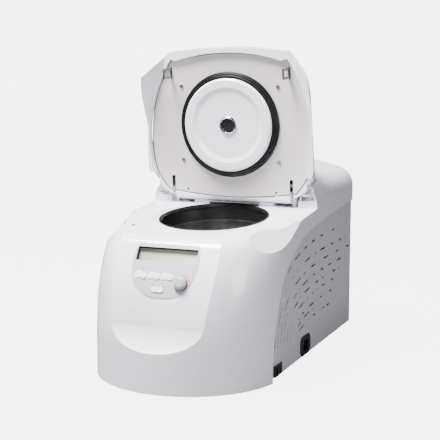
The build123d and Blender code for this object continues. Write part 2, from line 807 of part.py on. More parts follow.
# Drive
with BuildPart() as motor_plate:
    with Locations((0, bowl_y, 110)):
        Box(180, 180, 4, align=(Align.CENTER, Align.CENTER, Align.MIN))
        Cylinder(16, 20, mode=Mode.SUBTRACT)
    fillet(motor_plate.edges().filter_by(Axis.Z).filter_by(GeomType.LINE), 10)
finish("motor_plate", motor_plate.part)

with BuildPart() as vibration_mounts:
    with Locations((0, bowl_y, base_top)):
        with GridLocations(150, 150, 2, 2):
            Cylinder(9, 110 - base_top, align=(Align.CENTER, Align.CENTER, Align.MIN))
finish("vibration_mounts", vibration_mounts.part)

with BuildPart() as drive_motor:
    with Locations((0, bowl_y, 30)):
        Cylinder(42, 80, align=(Align.CENTER, Align.CENTER, Align.MIN))
        Cylinder(shaft_radius + axle_gap, 200, mode=Mode.SUBTRACT)
finish("drive_motor", drive_motor.part)

with BuildPart() as drive_shaft:
    with Locations((0, bowl_y, 40)):
        Cylinder(shaft_radius, rotor_top - 42, align=(Align.CENTER, Align.CENTER, Align.MIN))
finish("drive_shaft", drive_shaft.part)

with BuildPart() as rotor:
    add(turned_about(bowl_plane, ((shaft_radius, rotor_low), (56, rotor_low), (rotor_radius, rotor_top - 8),
                                  (rotor_radius, rotor_top), (74, rotor_top), (44, rotor_low + 16),
                                  (20, rotor_low + 16), (20, rotor_top), (shaft_radius, rotor_top))))
    for index in range(tube_count):
        turn = 360 / tube_count * index
        with Locations(Location((0, bowl_y, 0), (0, 0, turn)) * Location((63, 0, 168), (0, 45, 0))):
            Cylinder(5.6, 30, mode=Mode.SUBTRACT)
finish("rotor", rotor.part)

with BuildPart() as rotor_lid:
    add(turned_about(bowl_plane, ((shaft_radius - 3, rotor_top), (rotor_radius - 1, rotor_top),
                                  (rotor_radius - 1, rotor_top + 3), (70, rotor_top + 6), (40, rotor_top + 4),
                                  (shaft_radius - 3, rotor_top + 4))))
finish("rotor_lid", rotor_lid.part)

with BuildPart() as rotor_lid_knob:
    with Locations((0, bowl_y, rotor_top + 4)):
        Cylinder(13, 16, align=(Align.CENTER, Align.CENTER, Align.MIN))
        with PolarLocations(13.5, 8):
            Cylinder(2.5, 40, mode=Mode.SUBTRACT)
finish("rotor_lid_knob", rotor_lid_knob.part)

# Cooling machinery in the rear
with BuildPart() as compressor:
    with Locations((-66, 178, base_top + 9)):
        Cylinder(52, 120, align=(Align.CENTER, Align.CENTER, Align.MIN))
    fillet(compressor.edges().group_by(Axis.Z)[-1], 26)
    with Locations((-66, 178, base_top + 9)):
        Box(116, 40, 3, align=(Align.CENTER, Align.CENTER, Align.MIN))
finish("compressor", compressor.part)

with BuildPart() as compressor_grommets:
    with Locations((-66, 178, base_top)):
        with GridLocations(100, 26, 2, 2):
            Cylinder(6, 9, align=(Align.CENTER, Align.CENTER, Align.MIN))
finish("compressor_grommets", compressor_grommets.part)

with BuildPart() as condenser:
    with Locations((118, 178, base_top)):
        Box(38, 140, 170, align=(Align.CENTER, Align.CENTER, Align.MIN))
    with Locations((118, 178, base_top + 85)):
        with GridLocations(1, 14, 1, 9):
            Box(60, 10, 156, mode=Mode.SUBTRACT)
    for x in (110, 126):
        for z in (45, 95, 145):
            with Locations(Location((x, 178, z), (90, 0, 0))):
                Cylinder(4, 136)
finish("condenser", condenser.part)

with BuildPart() as fan_shroud:
    with Locations((86, 178, base_top)):
        Box(24, 136, 140, align=(Align.CENTER, Align.CENTER, Align.MIN))
    with Locations(Location((86, 178, base_top + 70), (0, 90, 0))):
        Cylinder(60, 40, mode=Mode.SUBTRACT)
    with Locations((75.5, 178, base_top + 70)):
        Box(2, 12, 130)
    with Locations(Location((75.5, 178, base_top + 70), (0, 90, 0))):
        Cylinder(15, 2)
    with Locations(Location((82, 178, base_top + 70), (0, 90, 0))):
        Cylinder(3, 12)
finish("fan_shroud", fan_shroud.part)

with BuildPart() as condenser_fan:
    with Locations(Location((86, 178, base_top + 70), (0, 90, 0))):
        Cylinder(16, 14)
        Cylinder(3 + axle_gap, 40, mode=Mode.SUBTRACT)
    for index in range(5):
        with Locations(Location((86, 178, base_top + 70), (0, 90, 0)) * Location((0, 0, 0), (0, 0, 72 * index))
                       * Location((35, 0, 0), (38, 0, 0))):
            Box(42, 26, 2)
finish("condenser_fan", condenser_fan.part)

with BuildPart() as power_board:
    with Locations((-134, -5, base_top)):
        Box(1.6, 150, 110, align=(Align.CENTER, Align.CENTER, Align.MIN))
    with Locations((-133.2, -20, base_top + 60)):
        Box(14, 60, 40, align=(Align.MIN, Align.CENTER, Align.CENTER))
    with Locations((-133.2, 40, base_top + 30)):
        Box(18, 30, 34, align=(Align.MIN, Align.CENTER, Align.CENTER))
finish("power_board", power_board.part)

# Locks under the deck, one for each striker
lock_top = deck_z(lock_y) - housing_wall - 0.5
for side, name in ((-1, "left"), (1, "right")):
    with BuildPart() as lock_bracket:
        with Locations((side * 100, lock_y, lock_top)):
            Box(26, 4, 50, align=(Align.CENTER, Align.MIN, Align.MAX))
        with Locations(Location((side * 92, lock_y - 9, lock_z), (90, 0, 0))):
            Cylinder(3, 18)
    finish(f"{name}_lock_bracket", lock_bracket.part)
    with BuildPart() as lock_hook:
        with BuildSketch(Plane.XZ.offset(-lock_y + 13)):
            with BuildLine():
                Polyline((side * 86, lock_z - 6), (side * 98, lock_z - 6), (side * 98, lock_z + 16),
                         (side * 103, lock_z + 18), (side * 101, lock_z + 22), (side * 90, lock_z + 22),
                         (side * 86, lock_z - 6))
            make_face()
            with Locations((side * 92, lock_z)):
                Circle(3 + axle_gap, mode=Mode.SUBTRACT)
        extrude(amount=3)
    finish(f"{name}_lock_hook", lock_hook.part)

# Hinge: fixed brackets screwed up under the pocket floors, and their axle
bracket_top = deck_z(riser_y) - housing_wall - seat_gap
with BuildPart() as hinge_brackets:
    for side in (-1, 1):
        with BuildSketch(Plane.YZ.offset(side * arm_x - 2.5)):
            with Locations((hinge_y, hinge_z)):
                Circle(10)
            with Locations((hinge_y, (hinge_z + bracket_top) / 2)):
                Rectangle(16, hinge_z - bracket_top)
        extrude(amount=5)
        with Locations((side * (arm_x - 8), hinge_y + 3, bracket_top)):
            Box(22, 28, 4, align=(Align.CENTER, Align.CENTER, Align.MAX))
finish("hinge_brackets", hinge_brackets.part)

with BuildPart() as hinge_axle:
    with Locations(Location((0, hinge_y, hinge_z), (0, 90, 0))):
        Cylinder(axle_radius, 2 * (arm_x - 2.5))
finish("hinge_axle", hinge_axle.part)

# Lid, drawn closed and turned open
with BuildPart() as lid_form:
    with BuildSketch(lid_plane.offset(60)):
        add(lid_plan())
    extrude(amount=-250)
    add(form, mode=Mode.INTERSECT)
with BuildPart() as lid_cavity:
    with BuildSketch(lid_plane.offset(0.5)):
        add(plate_outline(-4))
    extrude(amount=-120)
    add(envelope(lid_wall), mode=Mode.INTERSECT)
with BuildPart() as lid_shell:
    add(lid_form.part - below_lid(form, parting_gap, housing=False))
    with BuildSketch(lid_plane):
        with Locations((0, -86.5)):
            Rectangle(400, 120, align=(Align.CENTER, Align.MAX))
    extrude(amount=60, mode=Mode.SUBTRACT)
    with BuildSketch(lid_plane.offset(10)):
        Circle(14.1)
    extrude(amount=-120, mode=Mode.SUBTRACT)
    with BuildSketch(lid_plane.offset(20)):
        with Locations((-arm_x, -121), (arm_x, -121)):
            Rectangle(7, 60)
    extrude(amount=-55, mode=Mode.SUBTRACT)
    with BuildSketch(lid_plane.offset(-plate_gauge)):
        add(plate_outline(0.6))
    extrude(amount=60, mode=Mode.SUBTRACT)
    add(lid_cavity.part, mode=Mode.SUBTRACT)
finish("lid_shell", opened(lid_shell.part))

with BuildPart() as plate_posts:
    for x, v in screw_spots:
        y = closed_y - v * cos(slope)
        roof = hood_height - lid_wall - lid_rise * (knee_y - y) - crown_radius + sqrt(crown_radius**2 - x**2)
        with BuildSketch(lid_plane.offset(-plate_gauge)):
            with Locations((x, v)):
                Circle(4.5)
                Circle(1.6, mode=Mode.SUBTRACT)
        extrude(amount=-(roof - rim_z(y) - plate_gauge - 2.3))
finish("plate_posts", opened(plate_posts.part))

with BuildPart() as lid_plate:
    with BuildSketch(lid_plane):
        add(plate_outline(0))
        Circle(14.2, mode=Mode.SUBTRACT)
        with Locations((-arm_x, -110), (arm_x, -110)):
            Rectangle(6.4, 38, mode=Mode.SUBTRACT)
        with Locations((-spring_x, -120), (spring_x, -120)):
            Rectangle(3.4, 16, mode=Mode.SUBTRACT)
        with Locations((-striker_x, striker_v), (striker_x, striker_v)):
            Rectangle(4.6, 20, mode=Mode.SUBTRACT)
        with Locations(*screw_spots):
            Circle(1.8, mode=Mode.SUBTRACT)
    extrude(amount=-plate_gauge)
finish("lid_plate", opened(lid_plate.part))

with BuildPart() as lid_gasket:
    add(turned_about(lid_plane, ((disc_radius, 0), (ring_outer, 0), (ring_outer, ring_height - 2),
                                 (ring_outer - 3, ring_height), (disc_radius + 2, ring_height),
                                 (disc_radius, ring_height - 2))))
finish("lid_gasket", opened(lid_gasket.part))

with BuildPart() as lid_disc:
    add(turned_about(lid_plane, ((sight_radius, 0), (disc_radius, 0), (disc_radius, disc_height - 3),
                                 (disc_radius - 3, disc_height), (64, disc_height), (56, disc_height - 3),
                                 (sight_radius, disc_height - 4))))
finish("lid_disc", opened(lid_disc.part))

with BuildPart() as sight_bezel:
    add(turned_about(lid_plane, ((12, -50), (14, -50), (14, 0), (sight_radius, 0), (sight_radius, 11),
                                 (13.5, 12.5), (12, 11.5))))
    add(envelope(0), mode=Mode.INTERSECT)
finish("sight_bezel", opened(sight_bezel.part))

with BuildPart() as sight_lens:
    with BuildSketch(lid_plane.offset(9)):
        Circle(12)
    extrude(amount=-3)
finish("sight_lens", opened(sight_lens.part))

with BuildPart() as lid_screws:
    with BuildSketch(lid_plane):
        with Locations(*screw_spots):
            Circle(3.4)
    extrude(amount=1.8)
    with BuildSketch(lid_plane):
        with Locations(*screw_spots):
            Circle(1.5)
    extrude(amount=-10)
finish("lid_screws", opened(lid_screws.part))

with BuildPart() as lid_strikers:
    for side in (-1, 1):
        with BuildSketch(Plane(origin=lid_plane.origin + lid_plane.x_dir * (side * striker_x - 1.5),
                               x_dir=lid_plane.y_dir, z_dir=lid_plane.x_dir)):
            with Locations((striker_v, 12.5)):
                Rectangle(18, 35)
            with Locations((striker_v, 14)):
                Rectangle(10, 24, mode=Mode.SUBTRACT)
        extrude(amount=3)
finish("lid_strikers", opened(lid_strikers.part))

with BuildPart() as lid_hinge_blocks:
    for side in (-1, 1):
        with BuildSketch(Plane(origin=lid_plane.origin + lid_plane.x_dir * (side * (arm_x - 10) - 4),
                               x_dir=lid_plane.y_dir, z_dir=lid_plane.x_dir)):
            with Locations((-hinge_reach + 0.5, -(hinge_drop + 9.5 + plate_gauge) / 2)):
                Rectangle(16, hinge_drop + 9.5 - plate_gauge)
            with Locations((-hinge_reach, -hinge_drop)):
                Circle(axle_radius + axle_gap, mode=Mode.SUBTRACT)
        extrude(amount=8)
finish("lid_hinge_blocks", opened(lid_hinge_blocks.part))
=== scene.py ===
# %% [markdown]
# # A refrigerated microcentrifuge, dressed for its portrait
# The CAD parts arrive as a fixed frame, each piece in its real place and in metres. This lesson
# gives every piece its finish, prints the marks of the control film, cuts the side vents wider,
# renews the lid's seal and lights the bench. The lid is drawn open, as in the picture.

# %% Load the frame
import json
from math import atan2, cos, pi, radians, sin, sqrt

import bmesh
import bpy
from mathutils import Matrix, Vector


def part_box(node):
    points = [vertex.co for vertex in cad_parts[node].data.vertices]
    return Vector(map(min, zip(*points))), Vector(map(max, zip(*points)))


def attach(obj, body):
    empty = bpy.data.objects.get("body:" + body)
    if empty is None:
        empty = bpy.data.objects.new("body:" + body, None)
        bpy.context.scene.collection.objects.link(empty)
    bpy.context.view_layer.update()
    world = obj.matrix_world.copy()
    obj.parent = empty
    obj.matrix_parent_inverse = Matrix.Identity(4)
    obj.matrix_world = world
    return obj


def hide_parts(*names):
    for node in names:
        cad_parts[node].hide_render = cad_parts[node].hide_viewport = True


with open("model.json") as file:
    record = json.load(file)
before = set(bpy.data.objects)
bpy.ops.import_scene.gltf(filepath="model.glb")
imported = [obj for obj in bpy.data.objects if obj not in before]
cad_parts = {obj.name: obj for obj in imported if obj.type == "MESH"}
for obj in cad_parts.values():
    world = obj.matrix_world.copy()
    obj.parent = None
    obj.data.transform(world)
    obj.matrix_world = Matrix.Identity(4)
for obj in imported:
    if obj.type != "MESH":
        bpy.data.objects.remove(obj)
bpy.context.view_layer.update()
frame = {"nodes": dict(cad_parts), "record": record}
slot_of = {part["node"]: part["material_slot"] for part in frame["record"]["subparts"]}
MM = 0.001
print("nodes", len(frame["nodes"]), "slots", len(set(slot_of.values())))

# %% [markdown]
# ## The camera
# A product camera has a long lens. It stands to the front right, a little under the open lid's
# top edge, and looks down eight degrees, so the front, the deck and the vented right side show.

# %% Camera
PHOTO_PIXELS = 440
FOCAL_PIXELS = 1057.21
SENSOR = 36.0
CAMERA_PLACE = (0.6827, -1.6302, 0.4807)
CAMERA_DOWN, CAMERA_TURN = 8.14, 22.85

camera_data = bpy.data.cameras.new("studio_camera")
camera_data.sensor_width = SENSOR
camera_data.lens = FOCAL_PIXELS / PHOTO_PIXELS * SENSOR
camera_data.clip_end = 50.0  # past the floor's far edge
camera = bpy.data.objects.new("studio_camera", camera_data)
camera.location = CAMERA_PLACE
camera.rotation_euler = (radians(90 - CAMERA_DOWN), 0.0, radians(CAMERA_TURN))
bpy.context.scene.collection.objects.link(camera)
bpy.context.scene.camera = camera
print("lens", round(camera_data.lens, 2), "mm")

# %% [markdown]
# ## Helpers for modelling by hand
# Operators act on whatever is selected, and the loaded parts are selected, so each new piece
# starts with nothing selected. A finished piece keeps its place in its mesh, and its object stays
# at the origin.

# %% Modelling helpers
def only(piece):
    bpy.ops.object.select_all(action="DESELECT")
    piece.select_set(True)
    bpy.context.view_layer.objects.active = piece
    return piece


def add_piece(operator, name, **sizes):
    bpy.ops.object.select_all(action="DESELECT")
    operator(**sizes)
    piece = bpy.context.active_object
    piece.name = piece.data.name = name
    return only(piece)


def edit(piece, choose):
    """Opens the piece in edit mode with the vertices chosen by their place selected."""
    only(piece)
    bpy.ops.object.mode_set(mode="EDIT")
    bpy.ops.mesh.select_mode(type="VERT")
    bpy.ops.mesh.select_all(action="DESELECT")
    mesh = bmesh.from_edit_mesh(piece.data)
    for vertex in mesh.verts:
        vertex.select = choose(vertex.co)
    mesh.select_flush(True)
    bmesh.update_edit_mesh(piece.data)


def close_edit():
    bpy.ops.object.mode_set(mode="OBJECT")


def apply_modifier(piece, kind, **settings):
    only(piece)
    modifier = piece.modifiers.new(kind.lower(), kind)
    for key, value in settings.items():
        setattr(modifier, key, value)
    bpy.ops.object.modifier_apply(modifier=modifier.name)


def settle(piece):
    only(piece)
    bpy.ops.object.transform_apply(location=True, rotation=True, scale=True)
    return piece


def smooth(piece, degrees):
    only(piece)
    bpy.ops.object.shade_smooth_by_angle(angle=radians(degrees))


print("helpers ready, nothing modelled yet:", len(bpy.data.meshes), "meshes")

# %% [markdown]
# ## The bench and the light
# The real object stands on a white sweep under a large overhead soft box. The floor and the room
# look nearly white to the camera but send little light back, so the upright sides stay darker
# than the faces that lean up to the box. A weak box opens the right side, another the front.

# %% Floor and room
def seen_and_lit(tree, seen_shader, lit_shader, out):
    """The camera sees the first shader; all other rays meet the second."""
    seen = tree.nodes.new("ShaderNodeLightPath").outputs["Is Camera Ray"]
    blend = tree.nodes.new("ShaderNodeMixShader")
    tree.links.new(seen, blend.inputs["Fac"])
    tree.links.new(lit_shader.outputs[0], blend.inputs[1])
    tree.links.new(seen_shader.outputs[0], blend.inputs[2])
    tree.links.new(blend.outputs[0], out.inputs["Surface"])


ROOM_SEEN = 6.0
ROOM_LIGHT = 0.10
FLOOR_SIZE = 40.0

world = bpy.data.worlds.new("studio_room")
world.use_nodes = True
room = world.node_tree.nodes["Background"]
room.inputs["Strength"].default_value = ROOM_LIGHT
room.inputs["Color"].default_value = (0.95, 0.96, 1.0, 1.0)
sweep = world.node_tree.nodes.new("ShaderNodeBackground")
sweep.inputs["Strength"].default_value = ROOM_SEEN
sweep.inputs["Color"].default_value = (1.0, 1.0, 1.0, 1.0)
seen_and_lit(world.node_tree, sweep, room, world.node_tree.nodes["World Output"])
bpy.context.scene.world = world

floor = add_piece(bpy.ops.mesh.primitive_plane_add, "studio_floor", size=FLOOR_SIZE)
paper = bpy.data.materials.new("white_sweep_paper")
paper.use_nodes = True
tree = paper.node_tree
matt = tree.nodes["Principled BSDF"]
matt.inputs["Base Color"].default_value = (0.11, 0.11, 0.115, 1.0)
matt.inputs["Roughness"].default_value = 0.9
glow = tree.nodes.new("ShaderNodeEmission")
glow.inputs["Strength"].default_value = ROOM_SEEN - 0.4  # the key box adds the rest
bright = tree.nodes.new("ShaderNodeAddShader")
tree.links.new(matt.outputs[0], bright.inputs[0])
tree.links.new(glow.outputs[0], bright.inputs[1])
seen_and_lit(tree, bright, matt, tree.nodes["Material Output"])
floor.data.materials.append(paper)
print("floor", FLOOR_SIZE, "m across")

# %% Soft boxes
SOFT_BOXES = (
    # name, place, target, width, height, power in watts
    ("key_box", (-0.5, -0.6, 2.15), (0, -0.1, 0.25), 1.0, 0.6, 275.0),
    ("fill_box", (1.7, -0.6, 0.6), (0.12, 0.0, 0.15), 0.5, 0.5, 12.0),
    ("front_box", (0.35, -2.2, 0.95), (0, -0.1, 0.3), 0.7, 0.5, 15.0),
)


def soft_box(name, place, target, width, height, power):
    data = bpy.data.lights.new(name, "AREA")
    data.shape = "RECTANGLE"
    data.size, data.size_y = width, height
    data.energy = power
    lamp = bpy.data.objects.new(name, data)
    lamp.location = place
    lamp.rotation_euler = (Vector(target) - Vector(place)).to_track_quat("-Z", "Y").to_euler()
    bpy.context.scene.collection.objects.link(lamp)


for box in SOFT_BOXES:
    soft_box(*box)

# %% [markdown]
# ## Shared surface effects
# Most pieces share a few effects: a slow change of tone, the fine skin of a moulding or a
# powder coat, and the turned rings of a lathe. Each is a node group, built once, and each
# material gives it its own colours and scale.

# %% Group helpers
def new_group(name, inputs, outputs):
    """An empty shader group with named sockets; returns it with its two end nodes."""
    group = bpy.data.node_groups.new(name, "ShaderNodeTree")
    kinds = {"value": "NodeSocketFloat", "colour": "NodeSocketColor", "vector": "NodeSocketVector"}
    for label, kind in inputs:
        group.interface.new_socket(label, in_out="INPUT", socket_type=kinds[kind])
    for label, kind in outputs:
        group.interface.new_socket(label, in_out="OUTPUT", socket_type=kinds[kind])
    source = group.nodes.new("NodeGroupInput")
    sink = group.nodes.new("NodeGroupOutput")
    return group, source, sink


def add_noise(tree, vector, scale, detail):
    noise = tree.nodes.new("ShaderNodeTexNoise")
    noise.inputs["Detail"].default_value = detail
    tree.links.new(vector, noise.inputs["Vector"])
    tree.links.new(scale, noise.inputs["Scale"])
    return noise


def add_range(tree, value, low, high, new_low, new_high):
    ranged = tree.nodes.new("ShaderNodeMapRange")
    for label, number in zip(("From Min", "From Max", "To Min", "To Max"),
                             (low, high, new_low, new_high)):
        ranged.inputs[label].default_value = number
    tree.links.new(value, ranged.inputs["Value"])
    return ranged.outputs["Result"]


def add_mix(tree, factor, first, second):
    mix = tree.nodes.new("ShaderNodeMix")
    mix.data_type = "RGBA"
    tree.links.new(factor, mix.inputs[0])
    for value, socket in ((first, mix.inputs[6]), (second, mix.inputs[7])):
        if isinstance(value, tuple):
            socket.default_value = (*value, 1.0)
        else:
            tree.links.new(value, socket)
    return mix.outputs[2]


def add_math(tree, operation, first, second):
    node = tree.nodes.new("ShaderNodeMath")
    node.operation = operation
    for value, socket in ((first, node.inputs[0]), (second, node.inputs[1])):
        if isinstance(value, (int, float)):
            socket.default_value = value
        else:
            tree.links.new(value, socket)
    return node.outputs["Value"]


print("group helpers ready")

# %% Slow change of tone
tone_group, tone_in, tone_out = new_group(
    "slow_tone", [("Light", "colour"), ("Deep", "colour"), ("Patches", "value")],
    [("Colour", "colour"), ("Mask", "value")])
place = tone_group.nodes.new("ShaderNodeTexCoord").outputs["Object"]
clouds = add_noise(tone_group, place, tone_in.outputs["Patches"], 2.0)
clouds_mask = add_range(tone_group, clouds.outputs["Fac"], 0.32, 0.68, 0.0, 1.0)
drift = add_mix(tone_group, clouds_mask, tone_in.outputs["Deep"], tone_in.outputs["Light"])
tone_group.links.new(drift, tone_out.inputs["Colour"])
tone_group.links.new(clouds_mask, tone_out.inputs["Mask"])
print("tone group nodes", len(tone_group.nodes))

# %% Fine skin of a moulding or a powder coat
skin_group, skin_in, skin_out = new_group(
    "fine_skin", [("Grain", "value"), ("Waves", "value")],
    [("Height", "value"), ("Gloss", "value")])
place = skin_group.nodes.new("ShaderNodeTexCoord").outputs["Object"]
grain = add_noise(skin_group, place, skin_in.outputs["Grain"], 2.0)
waves = add_noise(skin_group, place, skin_in.outputs["Waves"], 1.0)
slow_part = add_math(skin_group, "MULTIPLY", waves.outputs["Fac"], 0.6)
relief = add_math(skin_group, "ADD", grain.outputs["Fac"], slow_part)
skin_group.links.new(relief, skin_out.inputs["Height"])
skin_group.links.new(add_range(skin_group, waves.outputs["Fac"], 0.3, 0.7, 0.0, 1.0),
                     skin_out.inputs["Gloss"])
print("skin group nodes", len(skin_group.nodes))

# %% Rings left by a lathe or a polishing wheel
ring_group, ring_in, ring_out = new_group(
    "turned_rings", [("Position", "vector"), ("Pitch", "value")],
    [("Height", "value"), ("Mask", "value")])
parts = ring_group.nodes.new("ShaderNodeSeparateXYZ")
flat = ring_group.nodes.new("ShaderNodeCombineXYZ")
ring_group.links.new(ring_in.outputs["Position"], parts.inputs[0])
ring_group.links.new(parts.outputs["X"], flat.inputs["X"])
ring_group.links.new(parts.outputs["Y"], flat.inputs["Y"])
reach = ring_group.nodes.new("ShaderNodeVectorMath")
reach.operation = "LENGTH"
ring_group.links.new(flat.outputs[0], reach.inputs[0])
along = add_math(ring_group, "ADD", reach.outputs["Value"], parts.outputs["Z"])
rings = ring_group.nodes.new("ShaderNodeTexNoise")
rings.noise_dimensions = "1D"
rings.inputs["Detail"].default_value = 3.0
paced = add_math(ring_group, "MULTIPLY", along, ring_in.outputs["Pitch"])
ring_group.links.new(paced, rings.inputs["W"])
ring_group.links.new(rings.outputs["Fac"], ring_out.inputs["Height"])
ring_group.links.new(add_range(ring_group, rings.outputs["Fac"], 0.3, 0.7, 0.0, 1.0),
                     ring_out.inputs["Mask"])
print("groups", len(bpy.data.node_groups))

# %% [markdown]
# ## Finishes
# A moulded or painted finish is one colour that drifts a little, a skin fine enough to break up
# reflections, and edges that are softly rounded. The Bevel node rounds the look of the sharp
# moulded edges over the width of a real edge break.

# %% Helpers for finishes
def use_group(tree, group, **values):
    node = tree.nodes.new("ShaderNodeGroup")
    node.node_tree = group
    for label, value in values.items():
        socket = node.inputs[label]
        socket.default_value = (*value, 1.0) if isinstance(value, tuple) else value
    return node


def rounded_normal(tree, width):
    bevel = tree.nodes.new("ShaderNodeBevel")
    bevel.samples = 4
    bevel.inputs["Radius"].default_value = width
    return bevel.outputs["Normal"]


def add_bump(tree, shader, height, depth, edge=0.0):
    bump = tree.nodes.new("ShaderNodeBump")
    bump.inputs["Strength"].default_value = 1.0
    bump.inputs["Distance"].default_value = depth
    tree.links.new(height, bump.inputs["Height"])
    if edge:
        tree.links.new(rounded_normal(tree, edge), bump.inputs["Normal"])
    tree.links.new(bump.outputs["Normal"], shader.inputs["Normal"])


def start_material(name, **constants):
    """A new material whose Principled shader has its constant sockets set."""
    material = bpy.data.materials.new(name)
    material.use_nodes = True
    shader = material.node_tree.nodes["Principled BSDF"]
    for label, value in constants.items():
        socket = shader.inputs[label.replace("_", " ")]
        socket.default_value = (*value, 1.0) if isinstance(value, tuple) else value
    return material, material.node_tree, shader


def set_gloss(tree, shader, mask, rough):
    """The mask moves the roughness from the first value to the second."""
    tree.links.new(add_range(tree, mask, 0.0, 1.0, *rough), shader.inputs["Roughness"])


def moulded(name, light, deep, rough, grain, depth, edge=0.0, patches=9.0, waves=60.0, **constants):
    """Light and deep tones, roughness range, scale and depth of the skin, width of its edges."""
    material, tree, shader = start_material(name, **constants)
    tone = use_group(tree, tone_group, Light=light, Deep=deep, Patches=patches)
    skin = use_group(tree, skin_group, Grain=grain, Waves=waves)
    tree.links.new(tone.outputs["Colour"], shader.inputs["Base Color"])
    set_gloss(tree, shader, skin.outputs["Gloss"], rough)
    add_bump(tree, shader, skin.outputs["Height"], depth, edge)
    return material


print("finish helpers ready")

# %% Finishes of the outside
finishes = {
    "white_cover": moulded(
        "glossy_white_cover", (0.865, 0.855, 0.925), (0.845, 0.835, 0.90), rough=(0.22, 0.30),
        grain=700.0, depth=0.00002, edge=0.0016, Coat_Weight=0.35, Coat_Roughness=0.12),
    "grey_panel": moulded(
        "grey_powder_coat", (0.60, 0.595, 0.645), (0.57, 0.565, 0.61), rough=(0.38, 0.48),
        grain=1800.0, depth=0.00004, edge=0.0004),
    "plate_paint": moulded(
        "satin_lid_plate", (0.66, 0.625, 0.60), (0.62, 0.585, 0.56), rough=(0.40, 0.50),
        grain=2200.0, depth=0.00002, edge=0.0003),
    "white_disc": moulded(
        "white_disc_plastic", (0.88, 0.86, 0.92), (0.86, 0.84, 0.90), rough=(0.18, 0.26),
        grain=900.0, depth=0.000015, edge=0.0008, Coat_Weight=0.2, Coat_Roughness=0.2),
    "black_seal": moulded(
        "glossy_black_rubber", (0.004, 0.0038, 0.004), (0.003, 0.003, 0.0034),
        rough=(0.34, 0.42), grain=500.0, depth=0.00004, edge=0.0006, Specular_IOR_Level=0.3),
    "overlay_film": moulded(
        "grey_overlay_film", (0.50, 0.50, 0.55), (0.46, 0.46, 0.51), rough=(0.36, 0.46),
        grain=2600.0, depth=0.00001, edge=0.0003),
    "key_plastic": moulded(
        "white_key_plastic", (0.92, 0.91, 0.94), (0.90, 0.89, 0.92), rough=(0.30, 0.40),
        grain=1500.0, depth=0.00001, edge=0.0005),
    "knob_plastic": moulded(
        "grey_knob_plastic", (0.30, 0.295, 0.31), (0.26, 0.255, 0.27), rough=(0.28, 0.38),
        grain=1100.0, depth=0.00002, edge=0.0006),
    "rocker_plastic": moulded(
        "black_rocker", (0.008, 0.008, 0.009), (0.006, 0.006, 0.007), rough=(0.22, 0.32),
        grain=1200.0, depth=0.00001, edge=0.0004),
}
print("outside finishes", len(finishes))

# %% Finishes of the chassis and the inner parts
finishes.update({
    "base_paint": moulded(
        "chassis_paint", (0.62, 0.62, 0.63), (0.55, 0.55, 0.56), rough=(0.42, 0.55),
        grain=1600.0, depth=0.00004, edge=0.0004),
    "black_rubber": moulded(
        "matt_black_rubber", (0.030, 0.030, 0.032), (0.020, 0.020, 0.021), rough=(0.60, 0.78),
        grain=900.0, depth=0.00008, edge=0.0005),
    "dark_plastic": moulded(
        "dark_moulding", (0.010, 0.010, 0.012), (0.007, 0.007, 0.008), rough=(0.36, 0.48),
        grain=1300.0, depth=0.00003, edge=0.0004),
    "motor_paint": moulded(
        "black_motor_enamel", (0.035, 0.035, 0.038), (0.022, 0.022, 0.024), rough=(0.30, 0.46),
        grain=420.0, depth=0.00008, edge=0.001),
    "board": moulded(
        "green_circuit_board", (0.020, 0.125, 0.055), (0.012, 0.090, 0.040), rough=(0.34, 0.44),
        grain=800.0, depth=0.00003),
    "foam": moulded(
        "grey_foam_jacket", (0.060, 0.060, 0.064), (0.035, 0.035, 0.038), rough=(0.85, 0.95),
        grain=420.0, depth=0.0004, patches=30.0, waves=180.0),
})
print("moulded finishes", len(finishes))

# %% [markdown]
# ## Metals
# Turned and polished metal shows fine rings about its own axis. A Mapping node puts the centre
# of the rings on the piece's axis, so the rings are true circles there. Rolled sheet, tube and
# fins only have a soft grain.

# %% Axes of the round parts
BOWL_Y = -0.0356  # upright axis of the bowl and the rotor
LID_CENTRE = (0.0, 0.0335, 0.3869)  # where the disc's axis meets the face of the lid's plate
LID_TURN = radians(93.81)  # turns Z to the direction that the open lid's plate faces


def own_axes(tree, centre, tilt):
    """Object coordinates from the centre, with Z along the tilted axis."""
    place = tree.nodes.new("ShaderNodeTexCoord").outputs["Object"]
    centred = tree.nodes.new("ShaderNodeMapping")
    centred.vector_type = "TEXTURE"
    centred.inputs["Location"].default_value = centre
    centred.inputs["Rotation"].default_value = (tilt, 0.0, 0.0)
    tree.links.new(place, centred.inputs["Vector"])
    return centred.outputs["Vector"]


def turned(name, light, deep, rough, pitch, depth, edge, centre=(0.0, BOWL_Y, 0.0), tilt=0.0):
    """A turned metal with its rings about the tilted axis through the centre."""
    material, tree, shader = start_material(name, Metallic=1.0)
    marks = use_group(tree, ring_group, Pitch=pitch)
    tree.links.new(own_axes(tree, centre, tilt), marks.inputs["Position"])
    tone = use_group(tree, tone_group, Light=light, Deep=deep, Patches=14.0)
    tree.links.new(tone.outputs["Colour"], shader.inputs["Base Color"])
    set_gloss(tree, shader, marks.outputs["Mask"], rough)
    add_bump(tree, shader, marks.outputs["Height"], depth, edge)
    return material


print("lid axis leans", round(LID_TURN - pi / 2, 4), "rad past level")

